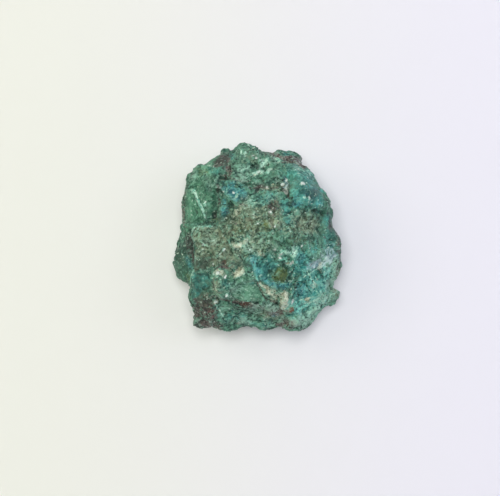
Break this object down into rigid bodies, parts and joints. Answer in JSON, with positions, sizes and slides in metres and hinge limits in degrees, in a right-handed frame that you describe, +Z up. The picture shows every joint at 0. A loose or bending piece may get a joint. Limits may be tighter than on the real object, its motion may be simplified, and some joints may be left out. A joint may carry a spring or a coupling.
{
  "type": "chrysocolla specimen",
  "caption": "Rough hand specimen of chrysocolla: one chunky, broken green-blue stone with ledges, chips and hollows, resting on a flat break.",
  "frame": {"origin": "on the floor, under the middle of the stone's box", "axes": "+Z up from the resting face; +Y along the stone's longest way; +X across it"},
  "size_m": [0.034, 0.0378, 0.026],
  "materials": {
    "chrysocolla": "rough broken mineral, dull to waxy, with small glints"
  },
  "bodies": {
    "root": {"chrysocolla_stone": "chrysocolla"}
  },
  "joints": []
}
